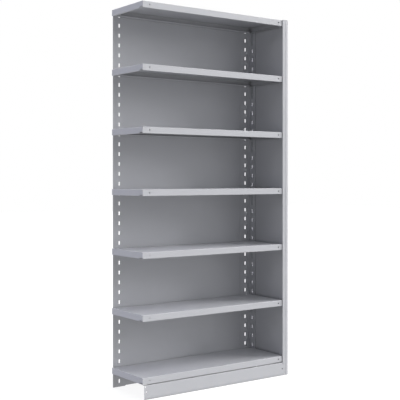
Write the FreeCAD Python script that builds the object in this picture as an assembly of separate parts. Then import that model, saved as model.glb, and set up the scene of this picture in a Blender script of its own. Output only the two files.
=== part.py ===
"""Add-on bay of slotted steel library shelving, in millimetres.

The bay is open at its left end, where it hangs on the upright of the bay before it, and has its
own T-shaped upright at the right end. The upright is two folded angles back to back at the front
and two at the rear, with a side panel pinched between their webs. Seven folded shelves lie on
two-hook clips in the web slots. Two slotted strips and a back panel close the rear, and a kick
plate closes the foot at the front.

Frame: +X to the right, +Y to the rear, +Z up. The origin is on the floor, under the middle of
the whole object. Inside the script, depth is measured from the front of the shelf lips ("u"),
and "inset" is the distance from the centre plane of an upright towards the middle of the bay.
"""
import FreeCAD, Part
import math
import os

from FreeCAD import Vector

# ---- the bay
BAY_PITCH = 903.5            # centre plane of one upright to centre plane of the next
SHELF_COUNT = 7
SLOT_PITCH = 50.0
SLOTS_PER_SHELF = 6          # slots from one shelf up to the next

# ---- sheet gauges
POST_GAUGE = 1.2
SIDE_GAUGE = 0.7
SHELF_GAUGE = 0.9
STRIP_GAUGE = 1.0
PANEL_GAUGE = 0.8
KICK_GAUGE = 1.0
CLIP_GAUGE = 1.5

# ---- clearances
END_CLEARANCE = 2.1          # shelf end to the web beside it
ROLL_CLEARANCE = 0.3         # shelf lip to the rolled edge in front of it
REAR_CLEARANCE = 1.6         # shelf to the rear flange, room for the screw ends
HOOK_CLEARANCE = 0.3         # clip hook to the web that it grips

# ---- upright
FACE_WIDTH = 37.3            # both flanges together, seen from the front
POST_RISE = 2.0              # posts above the top shelf
WEB_DEPTH = 48.2
POST_BEND = 2.4              # outer radius where flange meets web
ROLL_DEPTH = 4.6             # how deep the rolled front edge is
ROLL_RETURN = 2.0            # straight end of the rolled edge
SLOT_WIDTH = 7.2
SLOT_HEIGHT = 20.0
FRONT_SLOT_SETBACK = 17.0    # slot centre line to the outer face of the front flange
REAR_SLOT_SETBACK = 20.0     # slot centre line to the outer face of the rear flange
WEB_SLOT_START = 22.0        # height of the lowest slot centre in a web
SIDE_LAP = 5.0               # side panel edge to the nearest slot edge
SIDE_FOOT_GAP = 5.0

# ---- shelf
SHELF_DEPTH = 290.0
LIP_HEIGHT = 30.8
SHELF_BEND = 1.8
LIP_RETURN = 15.0            # bottom fold of the front and rear lips
END_RETURN = 12.0            # bottom fold of the end flanges
HEM_HEIGHT = 6.0             # upturned edge of the lip folds
TAB_LENGTH = 28.0            # lip end wrapped round the corner
TAB_CROP = 6.0               # tab bottom above the lip bottom
LIP_HOLE_RADIUS = 3.8
LIP_HOLE_INSET = 41.0        # from the shelf end
TIE_SLOT_WIDTH = 12.0        # slot in the rear lip of a fixed shelf
TIE_SLOT_HEIGHT = 7.0

# ---- rear strips and back panel
STRIP_EDGE_INSET = 5.85      # outer edge of a strip to the upright's centre plane, back centred
BACK_SHIFT = 5.65            # how far the whole back sits to the right of the bay's middle
STRIP_WIDTH = 73.0
STRIP_SLOT_RISE = 6.8        # slot centre above the bottom of the shelf beside it
STRIP_TOP_GAP = 4.0
PANEL_LAP = 12.0
PANEL_FOOT_GAP = 3.0
SCREW_RADIUS = 2.0
SCREW_HEAD_FLATS = 7.0
SCREW_HEAD_HEIGHT = 2.4
SCREW_TIP = 1.0              # screw end beyond the flange
SCREW_COUNT = 2
SCREW_END_GAP = 150.0

# ---- kick plate
KICK_SHELF_GAP = 4.2         # top of the plate to the bottom of the base shelf
KICK_END_INSET = 9.8
KICK_RETURN = 14.0
KICK_BEND = 1.8
KICK_POST_GAP = 1.0          # end of the folds to the rolled edge of the post
KICK_NOTCH_HEIGHT = 10.0
KICK_NOTCH_WIDTH = 6.5
KICK_EAR_GAP = 0.5           # ear to the back of the rolled edge
KICK_EAR_INSET = 9.8         # ear end to the upright's centre plane
KICK_HOLE_RADIUS = 3.5
KICK_HOLE_INSET = 22.0
KICK_HOLE_HEIGHT = 37.0

# ---- shelf clips
CLIP_WIDTH = 12.0
CLIP_LEDGE = 14.0
CLIP_BEND = 2.5
CLIP_FOOT = 4.0              # plate below the lower tongue's hook
TONGUE_HEIGHT = 8.7
TONGUE_SIDE_GAP = 0.3        # tongue to its half of the slot, since two bays share one slot
HOOK_PLAY = 3.3              # slot height left over when the hook goes in

# ---- tie bolts of the two fixed shelves
BOLT_RADIUS = 3.0
BOLT_HEAD_HEIGHT = 4.0
BOLT_END = 1.0               # bolt end beyond its nut
NUT_FLATS = 10.0             # nut and bolt head
NUT_HEIGHT = 5.0
SPACER_FLATS = 13.0
SPACER_BORE = 3.2            # radius
TIE_OFFSET = 4.0             # bolt above the middle of its slot

# ---- places that follow from the sizes above
SHEET_HALF = SIDE_GAUGE / 2
WEB_FACE = SHEET_HALF + POST_GAUGE
SHELF_END_INSET = WEB_FACE + END_CLEARANCE
SHELF_LENGTH = BAY_PITCH - 2 * SHELF_END_INSET
FLANGE_EDGE = FACE_WIDTH / 2
POST_FRONT_U = -(ROLL_DEPTH + ROLL_CLEARANCE)
REAR_FLANGE_U = SHELF_DEPTH + REAR_CLEARANCE
POST_REAR_U = REAR_FLANGE_U + POST_GAUGE
STRIP_REAR_U = POST_REAR_U + STRIP_GAUGE
PANEL_REAR_U = STRIP_REAR_U + PANEL_GAUGE
KICK_FRONT_U = POST_FRONT_U - KICK_GAUGE
FRONT_SLOT_U = POST_FRONT_U + FRONT_SLOT_SETBACK
REAR_SLOT_U = POST_REAR_U - REAR_SLOT_SETBACK
BACK_U = max(STRIP_REAR_U + max(BOLT_HEAD_HEIGHT, SCREW_HEAD_HEIGHT), PANEL_REAR_U)
MID_U = (KICK_FRONT_U + BACK_U) / 2

WIDTH = BAY_PITCH - SHELF_END_INSET + FLANGE_EDGE
RIGHT_PLANE = WIDTH / 2 - FLANGE_EDGE
LEFT_PLANE = RIGHT_PLANE - BAY_PITCH

SHELF_PITCH = SLOT_PITCH * SLOTS_PER_SHELF
BASE_SLOT = WEB_SLOT_START + SLOT_PITCH
SEAT_RISE = TONGUE_HEIGHT + CLIP_GAUGE - SLOT_HEIGHT / 2
BASE_SHELF_BOTTOM = BASE_SLOT + SEAT_RISE
TOP_SHELF_TOP = BASE_SHELF_BOTTOM + SHELF_PITCH * (SHELF_COUNT - 1) + LIP_HEIGHT
POST_HEIGHT = TOP_SHELF_TOP + POST_RISE
WEB_SLOT_COUNT = int((POST_HEIGHT - WEB_SLOT_START - SLOT_HEIGHT / 2) // SLOT_PITCH) + 1
STRIP_HEIGHT = POST_HEIGHT - STRIP_TOP_GAP
STRIP_SLOT_START = (BASE_SHELF_BOTTOM + STRIP_SLOT_RISE) % SLOT_PITCH
STRIP_SLOT_COUNT = int((STRIP_HEIGHT - STRIP_SLOT_START - SLOT_HEIGHT / 2) // SLOT_PITCH) + 1
KICK_HEIGHT = BASE_SHELF_BOTTOM - KICK_SHELF_GAP
HOOK_DROP = SLOT_HEIGHT - TONGUE_HEIGHT - HOOK_PLAY
TIE_HEIGHT = STRIP_SLOT_RISE + TIE_OFFSET
FIXED_SHELVES = (0, SHELF_COUNT - 1)

INWARD = -1                  # from the right upright towards the middle of the bay
OUTWARD = 1


def point(x, u, z=0.0):
    """A point at x, at depth u behind the shelf lips, at height z."""
    return Vector(x, u - MID_U, z)


def box(x0, x1, u0, u1, z0, z1):
    """A box between two x, two depths and two heights, given in any order."""
    low = point(min(x0, x1), min(u0, u1), min(z0, z1))
    return Part.makeBox(abs(x1 - x0), abs(u1 - u0), abs(z1 - z0), low)


def folded_path(corners, radius):
    """Outer line of a folded sheet through its corners, each bent to the same outer radius."""
    edges = []
    start = corners[0]
    for before, corner, after in zip(corners, corners[1:], corners[2:]):
        to_before = (before - corner).normalize()
        to_after = (after - corner).normalize()
        half = to_before.getAngle(to_after) / 2
        tangent = radius / math.tan(half)
        middle = (to_before + to_after).normalize() * (radius / math.sin(half) - radius)
        bend_start = corner + to_before * tangent
        bend_end = corner + to_after * tangent
        edges.append(Part.LineSegment(start, bend_start).toShape())
        edges.append(Part.Arc(bend_start, corner + middle, bend_end).toShape())
        start = bend_end
    edges.append(Part.LineSegment(start, corners[-1]).toShape())
    return edges


def folded_sheet(edges, gauge, inside, sweep):
    """Sheet of one gauge on the inside of a folded outer line, extruded along a vector."""
    outline = Part.Wire(edges)
    sections = [outline.makeOffset2D(offset, 0, True, True) for offset in (gauge, -gauge)]
    section = min(sections, key=lambda face: face.CenterOfMass.distanceToPoint(inside))
    return section.extrude(sweep).Solids[0]


def slot_cutters(x0, x1, u0, u1, first, count):
    """Column of slot-shaped cutters, one slot pitch apart."""
    half = SLOT_HEIGHT / 2
    heights = [first + SLOT_PITCH * row for row in range(count)]
    return Part.makeCompound([box(x0, x1, u0, u1, z - half, z + half) for z in heights])


def screw_heights():
    """Heights of the screw rows, evenly spaced over the strips."""
    step = (STRIP_HEIGHT - 2 * SCREW_END_GAP) / (SCREW_COUNT - 1)
    return [SCREW_END_GAP + step * row for row in range(SCREW_COUNT)]


def rod(x, z, u0, u1, radius):
    """Round rod along the depth axis, from u0 back to u1."""
    return Part.makeCylinder(radius, u1 - u0, point(x, u0, z), Vector(0, 1, 0))


def hexagon(x, z, u0, u1, flats):
    """Hexagonal rod along the depth axis, from u0 back to u1, sized across its flats."""
    corner = flats / math.sqrt(3)
    turns = [math.radians(60 * side) for side in range(6)]
    ring = [point(x + corner * math.cos(turn), u0, z + corner * math.sin(turn)) for turn in turns]
    return Part.Face(Part.makePolygon(ring + ring[:1])).extrude(Vector(0, u1 - u0, 0))


def drilled(shape, xs, heights, u0, u1, radius):
    """The shape with round holes along the depth axis."""
    holes = [rod(x, z, u0, u1, radius) for x in xs for z in heights]
    return shape.cut(Part.makeCompound(holes))


def shelf_bottom(index):
    """Height of the bottom of one shelf, counted from the base."""
    return BASE_SHELF_BOTTOM + SHELF_PITCH * index


# ---- upright

def front_post(side):
    """Front angle with a rolled edge on its flange and a slotted web."""
    x_of = lambda inset: RIGHT_PLANE + side * inset
    roll_radius = ROLL_DEPTH / 2
    roll_x = FLANGE_EDGE - roll_radius
    web_end_u = POST_FRONT_U + WEB_DEPTH
    corners = [
        point(x_of(SHEET_HALF), web_end_u),
        point(x_of(SHEET_HALF), POST_FRONT_U),
        point(x_of(roll_x), POST_FRONT_U),
    ]
    edges = folded_path(corners, POST_BEND)
    roll_back_u = POST_FRONT_U + ROLL_DEPTH
    roll_side = point(x_of(FLANGE_EDGE), POST_FRONT_U + roll_radius)
    roll_back = point(x_of(roll_x), roll_back_u)
    edges.append(Part.Arc(corners[-1], roll_side, roll_back).toShape())
    edges.append(Part.LineSegment(roll_back, point(x_of(roll_x - ROLL_RETURN), roll_back_u)).toShape())
    inside = point(x_of(FLANGE_EDGE), web_end_u)
    post = folded_sheet(edges, POST_GAUGE, inside, Vector(0, 0, POST_HEIGHT))
    return slotted_web(post, side, FRONT_SLOT_U)


def rear_post(side):
    """Rear angle with a plain flange and a slotted web."""
    x_of = lambda inset: RIGHT_PLANE + side * inset
    web_end_u = POST_REAR_U - WEB_DEPTH
    corners = [
        point(x_of(SHEET_HALF), web_end_u),
        point(x_of(SHEET_HALF), POST_REAR_U),
        point(x_of(FLANGE_EDGE), POST_REAR_U),
    ]
    inside = point(x_of(FLANGE_EDGE), web_end_u)
    post = folded_sheet(folded_path(corners, POST_BEND), POST_GAUGE, inside, Vector(0, 0, POST_HEIGHT))
    post = slotted_web(post, side, REAR_SLOT_U)
    return drilled(post, [x_of(screw_inset(side))], screw_heights(), REAR_FLANGE_U, POST_REAR_U, SCREW_RADIUS)


def slotted_web(post, side, slot_u):
    """The angle with one column of slots through its web."""
    x0 = RIGHT_PLANE
    x1 = RIGHT_PLANE + side * (WEB_FACE + POST_GAUGE)
    half = SLOT_WIDTH / 2
    cutters = slot_cutters(x0, x1, slot_u - half, slot_u + half, WEB_SLOT_START, WEB_SLOT_COUNT)
    return post.cut(cutters)


def strip_edge_inset(side):
    """Outer edge of the strip on one side of an upright."""
    return STRIP_EDGE_INSET + side * BACK_SHIFT


def strip_slot_inset(side):
    """Slot column of the strip on one side of an upright."""
    return strip_edge_inset(side) + STRIP_WIDTH / 2


def screw_inset(side):
    """Middle of the lap between a strip and the flange in front of it."""
    return (strip_edge_inset(side) + FLANGE_EDGE) / 2


def side_panel():
    """Flat sheet between the webs, clear of their slots."""
    margin = SLOT_WIDTH / 2 + SIDE_LAP
    return box(
        RIGHT_PLANE - SHEET_HALF, RIGHT_PLANE + SHEET_HALF,
        FRONT_SLOT_U + margin, REAR_SLOT_U - margin,
        SIDE_FOOT_GAP, POST_HEIGHT - SIDE_FOOT_GAP,
    )


# ---- shelf

def shelf(index):
    """Folded tray: top, lips with hemmed bottom folds, end flanges and lapped corner tabs."""
    bottom = shelf_bottom(index)
    top = bottom + LIP_HEIGHT
    left = LEFT_PLANE + SHELF_END_INSET
    right = left + SHELF_LENGTH
    shape = shelf_tray(left + SHELF_GAUGE, right - SHELF_GAUGE, bottom, top)
    shape = shape.fuse([shelf_lip_wrap(left, right, bottom, top), shelf_hems(left, right, bottom)])
    shape = shape.cut(shelf_corner_crops(left, right, bottom)).removeSplitter()
    lip_xs = [left + LIP_HOLE_INSET, right - LIP_HOLE_INSET]
    shape = drilled(shape, lip_xs, [(bottom + top) / 2], 0, SHELF_GAUGE, LIP_HOLE_RADIUS)
    if index not in FIXED_SHELVES:
        return shape
    tie_z = bottom + TIE_HEIGHT
    return shape.cut(Part.makeCompound([
        box(x - TIE_SLOT_WIDTH / 2, x + TIE_SLOT_WIDTH / 2, SHELF_DEPTH - SHELF_GAUGE, SHELF_DEPTH,
            tie_z - TIE_SLOT_HEIGHT / 2, tie_z + TIE_SLOT_HEIGHT / 2) for x in tie_xs()
    ]))


def shelf_tray(left, right, bottom, top):
    """Top sheet with four walls and a bottom fold all round, hollowed from below."""
    block = box(left, right, 0, SHELF_DEPTH, bottom, top)
    top_edges = [edge for edge in block.Edges if edge.CenterOfMass.z > top - SHELF_GAUGE]
    block = block.makeFillet(SHELF_BEND, top_edges)
    floor = min(block.Faces, key=lambda face: face.CenterOfMass.z)
    hollow = block.makeThickness([floor], -SHELF_GAUGE, 1e-3)
    plate = box(left, right, 0, SHELF_DEPTH, bottom, bottom + SHELF_GAUGE)
    mouth = box(left + END_RETURN, right - END_RETURN, LIP_RETURN, SHELF_DEPTH - LIP_RETURN,
                bottom, bottom + SHELF_GAUGE)
    fold = plate.cut(mouth).common(block)
    return hollow.fuse(fold)


def shelf_lip_wrap(left, right, bottom, top):
    """Front lip whose ends wrap round the corners as tabs outside the end flanges."""
    z0 = bottom + TAB_CROP
    corners = [point(left, TAB_LENGTH, z0), point(left, 0, z0), point(right, 0, z0), point(right, TAB_LENGTH, z0)]
    inside = point((left + right) / 2, SHELF_DEPTH, z0)
    rise = Vector(0, 0, top - SHELF_BEND - z0)
    return folded_sheet(folded_path(corners, SHELF_BEND), SHELF_GAUGE, inside, rise)


def shelf_hems(left, right, bottom):
    """Upturned edges of the front and rear bottom folds."""
    x0 = left + SHELF_GAUGE + END_RETURN
    x1 = right - SHELF_GAUGE - END_RETURN
    front_u = LIP_RETURN
    rear_u = SHELF_DEPTH - LIP_RETURN
    front = box(x0, x1, front_u - SHELF_GAUGE, front_u, bottom, bottom + HEM_HEIGHT)
    rear = box(x0, x1, rear_u, rear_u + SHELF_GAUGE, bottom, bottom + HEM_HEIGHT)
    return front.fuse(rear)


def shelf_corner_crops(left, right, bottom):
    """Cutters that open the end flanges under the corner tabs."""
    deep = 2 * SHELF_GAUGE
    ends = [(left, left + deep), (right - deep, right)]
    return Part.makeCompound([
        box(x0, x1, SHELF_GAUGE, TAB_LENGTH, bottom, bottom + TAB_CROP) for x0, x1 in ends
    ])


# ---- rear strips and back panel

def tie_xs():
    """The two slot columns of the rear strips."""
    return [LEFT_PLANE + strip_slot_inset(OUTWARD), RIGHT_PLANE - strip_slot_inset(INWARD)]


def panel_inset(side):
    """Edge of the back panel, lapped over the strip on one side of an upright."""
    return strip_edge_inset(side) + STRIP_WIDTH - PANEL_LAP


def back_strip(plane_x, side):
    """Slotted strip that stands on the floor behind the rear flange."""
    x_of = lambda inset: plane_x + side * inset
    edge = strip_edge_inset(side)
    strip = box(x_of(edge), x_of(edge + STRIP_WIDTH), POST_REAR_U, STRIP_REAR_U, 0, STRIP_HEIGHT)
    half = SLOT_WIDTH / 2
    slot_x = x_of(strip_slot_inset(side))
    strip = strip.cut(slot_cutters(slot_x - half, slot_x + half, POST_REAR_U, STRIP_REAR_U,
                                   STRIP_SLOT_START, STRIP_SLOT_COUNT))
    return drilled(strip, [x_of(screw_inset(side))], screw_heights(), POST_REAR_U, STRIP_REAR_U, SCREW_RADIUS)


def back_panel():
    """Plain sheet lapped over the inner edges of both strips and welded to them."""
    return box(LEFT_PLANE + panel_inset(OUTWARD), RIGHT_PLANE - panel_inset(INWARD),
               STRIP_REAR_U, PANEL_REAR_U, PANEL_FOOT_GAP, STRIP_HEIGHT)


def strip_screw(z):
    """Screw from the rear through the right strip into the flange of the inner rear post."""
    x = RIGHT_PLANE - screw_inset(INWARD)
    shank = rod(x, z, REAR_FLANGE_U - SCREW_TIP, STRIP_REAR_U, SCREW_RADIUS)
    head = hexagon(x, z, STRIP_REAR_U, STRIP_REAR_U + SCREW_HEAD_HEIGHT, SCREW_HEAD_FLATS)
    return shank.fuse(head)


# ---- kick plate

def kick_plate():
    """Channel with flat ends over the post flanges, end notches, hooked ears and two holes."""
    left = LEFT_PLANE + KICK_END_INSET
    right = RIGHT_PLANE - KICK_END_INSET
    fold_inset = FLANGE_EDGE + KICK_POST_GAP
    fold_left = LEFT_PLANE + fold_inset
    fold_right = RIGHT_PLANE - fold_inset
    back_u = KICK_FRONT_U + KICK_RETURN
    corners = [
        point(fold_left, back_u, 0),
        point(fold_left, KICK_FRONT_U, 0),
        point(fold_left, KICK_FRONT_U, KICK_HEIGHT),
        point(fold_left, back_u, KICK_HEIGHT),
    ]
    along = Vector(fold_right - fold_left, 0, 0)
    inside = point(fold_left, back_u, KICK_HEIGHT / 2)
    channel = folded_sheet(folded_path(corners, KICK_BEND), KICK_GAUGE, inside, along)
    face = box(left, right, KICK_FRONT_U, POST_FRONT_U, KICK_BEND, KICK_HEIGHT - KICK_BEND)
    ends = [box(left, fold_left, KICK_FRONT_U, POST_FRONT_U, 0, KICK_HEIGHT),
            box(fold_right, right, KICK_FRONT_U, POST_FRONT_U, 0, KICK_HEIGHT)]
    ear_u = POST_FRONT_U + ROLL_DEPTH + KICK_EAR_GAP
    under = KICK_HEIGHT - KICK_GAUGE
    ears = [box(LEFT_PLANE + KICK_EAR_INSET, fold_left, ear_u, back_u, under, KICK_HEIGHT),
            box(fold_right, RIGHT_PLANE - KICK_EAR_INSET, ear_u, back_u, under, KICK_HEIGHT)]
    plate = channel.fuse([face] + ends + ears).removeSplitter()
    notch_z = KICK_HEIGHT - KICK_NOTCH_HEIGHT
    notches = [box(fold_left - KICK_NOTCH_WIDTH, fold_left, KICK_FRONT_U, POST_FRONT_U, notch_z, KICK_HEIGHT),
               box(fold_right, fold_right + KICK_NOTCH_WIDTH, KICK_FRONT_U, POST_FRONT_U, notch_z, KICK_HEIGHT)]
    plate = plate.cut(Part.makeCompound(notches))
    xs = [LEFT_PLANE + KICK_HOLE_INSET, RIGHT_PLANE - KICK_HOLE_INSET]
    return drilled(plate, xs, [KICK_HOLE_HEIGHT], KICK_FRONT_U, POST_FRONT_U, KICK_HOLE_RADIUS)


# ---- clips and tie bolts

def shelf_clip(index, slot_u):
    """Two-hook clip: a ledge under the shelf end, a plate on the web and a tongue in two slots."""
    x_of = lambda inset: RIGHT_PLANE - inset
    seat = shelf_bottom(index)
    upper = seat - CLIP_GAUGE - TONGUE_HEIGHT
    lower = upper - SLOT_PITCH
    u0 = slot_u - CLIP_WIDTH / 2
    corners = [
        point(x_of(WEB_FACE), u0, lower - CLIP_FOOT),
        point(x_of(WEB_FACE), u0, seat),
        point(x_of(WEB_FACE + CLIP_LEDGE), u0, seat),
    ]
    inside = point(x_of(WEB_FACE + CLIP_LEDGE), u0, lower - CLIP_FOOT)
    clip = folded_sheet(folded_path(corners, CLIP_BEND), CLIP_GAUGE, inside, Vector(0, CLIP_WIDTH, 0))
    tongue_u1 = slot_u - TONGUE_SIDE_GAP
    tongue_u0 = slot_u - SLOT_WIDTH / 2 + TONGUE_SIDE_GAP
    hook_face = -(WEB_FACE + HOOK_CLEARANCE)
    hook_back = hook_face - CLIP_GAUGE
    for slot_floor in (lower, upper):
        tongue_top = slot_floor + TONGUE_HEIGHT
        tongue = box(x_of(WEB_FACE), x_of(hook_back), tongue_u0, tongue_u1, slot_floor, tongue_top)
        hook = box(x_of(hook_face), x_of(hook_back), tongue_u0, tongue_u1, slot_floor - HOOK_DROP, tongue_top)
        clip = clip.fuse([tongue, hook])
    return clip.removeSplitter()


def shelf_clips(slot_u):
    """One clip for each shelf in one web."""
    return [shelf_clip(index, slot_u) for index in range(SHELF_COUNT)]


def tie_places():
    """Where the base shelf and the top shelf are tied to the strips."""
    heights = [shelf_bottom(index) + TIE_HEIGHT for index in FIXED_SHELVES]
    return [(x, z) for x in tie_xs() for z in heights]


def tie_bolt(x, z):
    """Hexagon-head bolt from the rear."""
    end_u = SHELF_DEPTH - SHELF_GAUGE - NUT_HEIGHT - BOLT_END
    shank = rod(x, z, end_u, STRIP_REAR_U, BOLT_RADIUS)
    return shank.fuse(hexagon(x, z, STRIP_REAR_U, STRIP_REAR_U + BOLT_HEAD_HEIGHT, NUT_FLATS))


def tie_nut(x, z):
    """Hexagonal nut against the inside of the shelf's rear lip."""
    face_u = SHELF_DEPTH - SHELF_GAUGE
    nut = hexagon(x, z, face_u - NUT_HEIGHT, face_u, NUT_FLATS)
    return nut.cut(rod(x, z, face_u - NUT_HEIGHT, face_u, BOLT_RADIUS))


def tie_spacer(x, z):
    """Hexagonal spacer that fills the gap between the shelf and the strip."""
    spacer = hexagon(x, z, SHELF_DEPTH, POST_REAR_U, SPACER_FLATS)
    return spacer.cut(rod(x, z, SHELF_DEPTH, POST_REAR_U, SPACER_BORE))


def shelf_name(index):
    """Node name of one shelf, counted from the base."""
    if index == 0:
        return "base_shelf"
    if index == SHELF_COUNT - 1:
        return "top_shelf"
    return "shelf_%d" % index


def build():
    """Every sub-part by name."""
    parts = {
        "front_post_inner": front_post(INWARD),
        "front_post_outer": front_post(OUTWARD),
        "rear_post_inner": rear_post(INWARD),
        "rear_post_outer": rear_post(OUTWARD),
        "side_panel": side_panel(),
        "back_strip_left": back_strip(LEFT_PLANE, OUTWARD),
        "back_strip_right": back_strip(RIGHT_PLANE, INWARD),
        "back_panel": back_panel(),
        "kick_plate": kick_plate(),
        "front_shelf_clips": Part.makeCompound(shelf_clips(FRONT_SLOT_U)),
        "rear_shelf_clips": Part.makeCompound(shelf_clips(REAR_SLOT_U)),
        "tie_bolts": Part.makeCompound([tie_bolt(x, z) for x, z in tie_places()]),
        "tie_nuts": Part.makeCompound([tie_nut(x, z) for x, z in tie_places()]),
        "tie_spacers": Part.makeCompound([tie_spacer(x, z) for x, z in tie_places()]),
        "strip_screws": Part.makeCompound([strip_screw(z) for z in screw_heights()]),
    }
    for index in range(SHELF_COUNT):
        parts[shelf_name(index)] = shelf(index)
    return parts


os.makedirs("parts", exist_ok=True)
for name, shape in build().items():
    shape.exportStep("parts/%s.step" % name)
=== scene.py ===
"""Slotted steel library shelving bay: folded uprights, shelves, back, fixings and the studio."""
import logging
import math
from dataclasses import dataclass, field
from enum import Enum

import bmesh
import bpy
from bpy.types import Material, Mesh, Node, NodeSocket, NodeTree, Object
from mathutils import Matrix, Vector


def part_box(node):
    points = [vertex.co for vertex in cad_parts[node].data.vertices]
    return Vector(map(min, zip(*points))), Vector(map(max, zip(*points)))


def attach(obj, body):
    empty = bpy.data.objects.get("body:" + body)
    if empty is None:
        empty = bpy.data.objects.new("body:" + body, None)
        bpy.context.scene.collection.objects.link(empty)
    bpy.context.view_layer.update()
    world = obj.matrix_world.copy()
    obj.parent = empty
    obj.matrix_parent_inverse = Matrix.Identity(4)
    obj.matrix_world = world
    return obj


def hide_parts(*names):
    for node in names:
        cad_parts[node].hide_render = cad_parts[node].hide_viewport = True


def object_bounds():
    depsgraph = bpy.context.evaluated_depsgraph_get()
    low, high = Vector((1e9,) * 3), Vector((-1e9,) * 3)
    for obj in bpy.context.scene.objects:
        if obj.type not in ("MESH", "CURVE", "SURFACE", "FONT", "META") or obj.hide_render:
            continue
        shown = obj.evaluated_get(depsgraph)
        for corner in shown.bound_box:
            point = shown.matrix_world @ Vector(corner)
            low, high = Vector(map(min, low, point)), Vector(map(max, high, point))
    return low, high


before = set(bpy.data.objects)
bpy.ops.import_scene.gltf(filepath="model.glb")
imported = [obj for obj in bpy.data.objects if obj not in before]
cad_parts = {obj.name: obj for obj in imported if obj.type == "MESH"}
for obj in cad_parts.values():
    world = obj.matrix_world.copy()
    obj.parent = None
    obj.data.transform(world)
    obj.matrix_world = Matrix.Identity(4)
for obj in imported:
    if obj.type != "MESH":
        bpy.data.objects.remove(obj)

CAD_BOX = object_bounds()
MM = 0.001
UP = Vector((0, 0, 1))
BLACK = (0.0, 0.0, 0.0, 1.0)
WHITE = (1.0, 1.0, 1.0, 1.0)
BEND_STEPS = 5                       # straight pieces in a sheet bend
CREASE = math.radians(35)            # edges sharper than this stay crisp when a piece is shaded
CORNER = math.radians(50)            # edges sharper than this are rounded off
FLAT_TURN = math.pi / 3              # from one flat of a hexagon to the next

logging.basicConfig(level=logging.INFO, format="%(name)s: %(message)s")
log = logging.getLogger("shelving_bay")


# ---- small helpers

def linear(hex_colour: str) -> tuple[float, float, float, float]:
    """Turns an sRGB hex colour into the linear colour that shaders take.

    Args:
        hex_colour: six hex digits after a hash.

    Returns:
        Linear red, green, blue and an alpha of 1.
    """
    channels = [int(hex_colour[start:start + 2], 16) / 255 for start in (1, 3, 5)]
    # the two branches of the sRGB standard
    red, green, blue = (value / 12.92 if value <= 0.04045 else ((value + 0.055) / 1.055) ** 2.4
                        for value in channels)
    return red, green, blue, 1.0


def add_node(tree: NodeTree, kind: str, inputs: dict | None = None, **settings: object) -> Node:
    """Adds one node with its settings, values and links.

    Args:
        tree: the node tree that gets the node.
        kind: Blender's type name of the node.
        inputs: a value or an output socket for each input, by name or number.
        settings: properties of the node itself.

    Returns:
        The new node.
    """
    node = tree.nodes.new(kind)
    for name, value in settings.items():
        setattr(node, name, value)
    for key, value in (inputs or {}).items():
        sockets = value if isinstance(value, list) else [value]
        for socket in sockets:
            if isinstance(socket, NodeSocket):
                tree.links.new(socket, node.inputs[key])
            else:
                node.inputs[key].default_value = socket
    return node


def new_piece(name: str, mesh: Mesh, finish: Material) -> Object:
    """Puts a mesh into the scene.

    Args:
        name: name of the piece.
        mesh: its mesh, in the shared frame.
        finish: its material.

    Returns:
        The new object, at the origin.
    """
    mesh.materials.append(finish)
    piece = bpy.data.objects.new(name, mesh)
    bpy.context.scene.collection.objects.link(piece)
    return piece


def edge_chain(name: str, points: list[Vector]) -> Mesh:
    """Makes an open chain of edges.

    Args:
        name: name of the mesh.
        points: its points in order.

    Returns:
        The mesh.
    """
    mesh = bpy.data.meshes.new(name)
    mesh.from_pydata(points, [(first, first + 1) for first in range(len(points) - 1)], [])
    return mesh


def lofted(name: str, rings: list[list[Vector]], bored: bool = False) -> Mesh:
    """Skins a row of rings that have the same number of points.

    Args:
        name: name of the mesh.
        rings: the rings in order.
        bored: joins the last ring to the first one, instead of closing both ends.

    Returns:
        A closed mesh with its normals outward.
    """
    shape = bmesh.new()
    loops = [[shape.verts.new(place) for place in ring] for ring in rings]
    pairs = list(zip(loops, loops[1:]))
    if bored:
        pairs.append((loops[-1], loops[0]))
    else:
        shape.faces.new(loops[0])
        shape.faces.new(loops[-1])
    for ring, following in pairs:
        for index in range(len(ring)):
            after = (index + 1) % len(ring)
            shape.faces.new((ring[index], ring[after], following[after], following[index]))
    bmesh.ops.recalc_face_normals(shape, faces=shape.faces)
    mesh = bpy.data.meshes.new(name)
    shape.to_mesh(mesh)
    shape.free()
    return mesh


def extruded(name: str, outline: list[Vector], along: Vector) -> Mesh:
    """Extrudes a flat outline into a closed solid.

    Args:
        name: name of the mesh.
        outline: corners of the flat outline in order.
        along: direction and length of the extrusion.

    Returns:
        The mesh.
    """
    return lofted(name, [outline, [corner + along for corner in outline]])


def arc(centre: Vector, start: Vector, end: Vector, steps: int) -> list[Vector]:
    """Points on the arc between two radius vectors, without its first point.

    Args:
        centre: middle of the arc.
        start: radius vector to the first point.
        end: radius vector to the last point, at a right angle to the first.
        steps: number of straight pieces.

    Returns:
        The points in order.
    """
    turns = [math.pi / 2 * step / steps for step in range(1, steps + 1)]
    return [centre + start * math.cos(turn) + end * math.sin(turn) for turn in turns]


def evaluate(piece: Object) -> Mesh:
    """Applies a piece's modifiers.

    Args:
        piece: the piece, which keeps no modifier.

    Returns:
        Its new plain mesh.
    """
    depsgraph = bpy.context.evaluated_depsgraph_get()
    mesh = bpy.data.meshes.new_from_object(piece.evaluated_get(depsgraph))
    piece.modifiers.clear()
    piece.data = mesh
    return mesh


def round_off(piece: Object, name: str, width: float) -> None:
    """Rounds the sharp edges of a piece.

    Args:
        piece: the piece.
        name: name of the modifier that does it.
        width: how far the rounding reaches from the edge.
    """
    edge = piece.modifiers.new(name, "BEVEL")
    edge.width = width
    edge.segments = 2
    edge.limit_method = "ANGLE"
    edge.angle_limit = CORNER


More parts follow.
